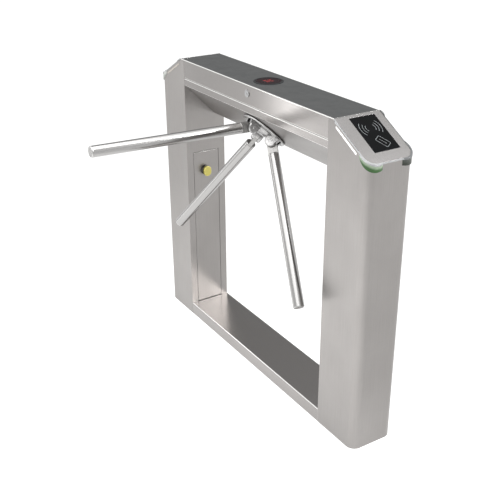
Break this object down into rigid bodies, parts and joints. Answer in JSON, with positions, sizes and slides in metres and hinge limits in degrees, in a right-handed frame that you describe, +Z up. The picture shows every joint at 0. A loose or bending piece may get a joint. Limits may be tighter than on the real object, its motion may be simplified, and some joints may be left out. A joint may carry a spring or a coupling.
{
  "type": "tripod turnstile",
  "caption": "Steel bridge-cabinet turnstile: sloped reader ends, hinged lid, access door and an inclined rotor with arms on a 45 degree face.",
  "frame": {"origin": "on the floor, in the middle of the four anchor holes", "axes": "+X along the cabinet towards the near reader end, -Y out of the front, where the arms reach, +Z up"},
  "size_m": [1.21, 0.7004, 1.022],
  "materials": {
    "cabinet_steel": "brushed",
    "lid_steel": "brushed",
    "lid_sheet": "satin",
    "floor_steel": "galvanised",
    "bright_trim": "polished",
    "hinge_steel": "satin",
    "hub_chrome": "polished",
    "screw_steel": "blackened",
    "arm_steel": "polished",
    "window_black": "gloss",
    "led_near": "frosted",
    "led_far": "frosted",
    "strip_white": "frosted",
    "reader_plastic": "matte",
    "indicator_black": "satin",
    "indicator_red": "gloss",
    "knob_dark": "satin",
    "knob_yellow": "satin",
    "shaft_steel": "ground",
    "gear_steel": "oiled",
    "encoder_black": "matte",
    "mech_plate": "zinc plated",
    "housing_aluminium": "machined",
    "pinion_brass": "machined",
    "motor_black": "satin",
    "board_green": "satin"
  },
  "bodies": {
    "cabinet": {"far_column": "cabinet_steel", "near_column": "cabinet_steel", "beam_shell": "cabinet_steel", "base_tread": "cabinet_steel", "base_plates": "floor_steel", "lid_hinge_fixed": "hinge_steel", "lid_hinge_pins": "hinge_steel", "door_hinge_lugs": "floor_steel", "near_head_plate": "cabinet_steel", "near_head_rim": "bright_trim", "near_window": "window_black", "near_led_lenses": "led_near", "far_head_plate": "cabinet_steel", "far_head_rim": "bright_trim", "far_window": "window_black", "far_led_lenses": "led_far", "side_strips": "strip_white", "readers": "reader_plastic", "mech_front_plate": "mech_plate", "mech_rear_plate": "mech_plate", "bearing_housing": "housing_aluminium", "bearings": "shaft_steel", "drive_motor": "motor_black", "solenoids": "motor_black", "control_board": "board_green", "power_supply": "housing_aluminium"},
    "rotor": {"hub_casting": "hub_chrome", "hub_cap": "hub_chrome", "hub_screws": "screw_steel", "arm_pins": "hub_chrome", "arm_2_knuckle": "hub_chrome", "arm_2_tube": "arm_steel", "arm_3_knuckle": "hub_chrome", "arm_3_tube": "arm_steel", "arm_2_3_caps": "arm_steel", "main_shaft": "shaft_steel", "drive_gear": "gear_steel", "lock_wheel": "gear_steel", "encoder_disc": "encoder_black"},
    "arm_1": {"arm_1_knuckle": "hub_chrome", "arm_1_tube": "arm_steel", "arm_1_cap": "arm_steel"},
    "pinion": {"drive_pinion": "pinion_brass"},
    "left_pawl": {"pawl_left": "gear_steel"},
    "right_pawl": {"pawl_right": "gear_steel"},
    "left_plunger": {"plunger_left": "shaft_steel"},
    "right_plunger": {"plunger_right": "shaft_steel"},
    "lid": {"lid_cover": "lid_steel", "lid_panel": "lid_sheet", "lid_hinge_moving": "hinge_steel", "lid_lock_body": "bright_trim", "indicator_bezel": "indicator_black", "indicator_lens": "indicator_red"},
    "lid_lock": {"lid_lock_plug": "bright_trim"},
    "door": {"door_panel": "cabinet_steel", "door_lock_body": "bright_trim"},
    "door_lock": {"door_lock_plug": "bright_trim", "door_knob": "knob_dark", "door_knob_cap": "knob_yellow"}
  },
  "joints": [
    {"name": "rotor_spin", "type": "hinge", "parent": "cabinet", "child": "rotor", "pos_m": [0, -0.015, 0.865], "axis": [0, -0.7071, -0.7071], "continuous": true},
    {"name": "arm_1_drop", "type": "hinge", "parent": "rotor", "child": "arm_1", "pos_m": [0, -0.06323, 0.88324], "axis": [1, 0, 0], "range_deg": [0, 90]},
    {"name": "pinion_spin", "type": "hinge", "parent": "cabinet", "child": "pinion", "pos_m": [0, -0.02207, 0.94844], "axis": [0, -0.7071, -0.7071], "continuous": true},
    {"name": "left_pawl_turn", "type": "hinge", "parent": "cabinet", "child": "left_pawl", "pos_m": [-0.046, 0.0048, 0.93854], "axis": [0, -0.7071, -0.7071], "range_deg": [0, 15]},
    {"name": "right_pawl_turn", "type": "hinge", "parent": "cabinet", "child": "right_pawl", "pos_m": [0.046, 0.0048, 0.93854], "axis": [0, 0.7071, 0.7071], "range_deg": [0, 15]},
    {"name": "left_plunger_slide", "type": "slide", "parent": "cabinet", "child": "left_plunger", "axis": [-1, 0, 0], "range_m": [0, 0.0068]},
    {"name": "right_plunger_slide", "type": "slide", "parent": "cabinet", "child": "right_plunger", "axis": [1, 0, 0], "range_m": [0, 0.0068]},
    {"name": "lid_open", "type": "hinge", "parent": "cabinet", "child": "lid", "pos_m": [0, 0.0835, 1.0055], "axis": [-1, 0, 0], "range_deg": [0, 75]},
    {"name": "lid_lock_turn", "type": "hinge", "parent": "lid", "child": "lid_lock", "pos_m": [0, -0.08, 0.992], "axis": [0, -1, 0], "range_deg": [0, 90]},
    {"name": "door_open", "type": "hinge", "parent": "cabinet", "child": "door", "pos_m": [-0.426, 0, 0.056], "axis": [0, 1, 0], "range_deg": [0, 85]},
    {"name": "door_lock_turn", "type": "hinge", "parent": "door", "child": "door_lock", "pos_m": [-0.42, -0.005, 0.597], "axis": [1, 0, 0], "range_deg": [0, 90]}
  ],
  "couplings": [
    {"joint": "pinion_spin", "follows": "rotor_spin", "ratio": -3},
    {"joint": "left_plunger_slide", "follows": "left_pawl_turn", "m_per_rad": 0.0257},
    {"joint": "right_plunger_slide", "follows": "right_pawl_turn", "m_per_rad": 0.0257}
  ]
}
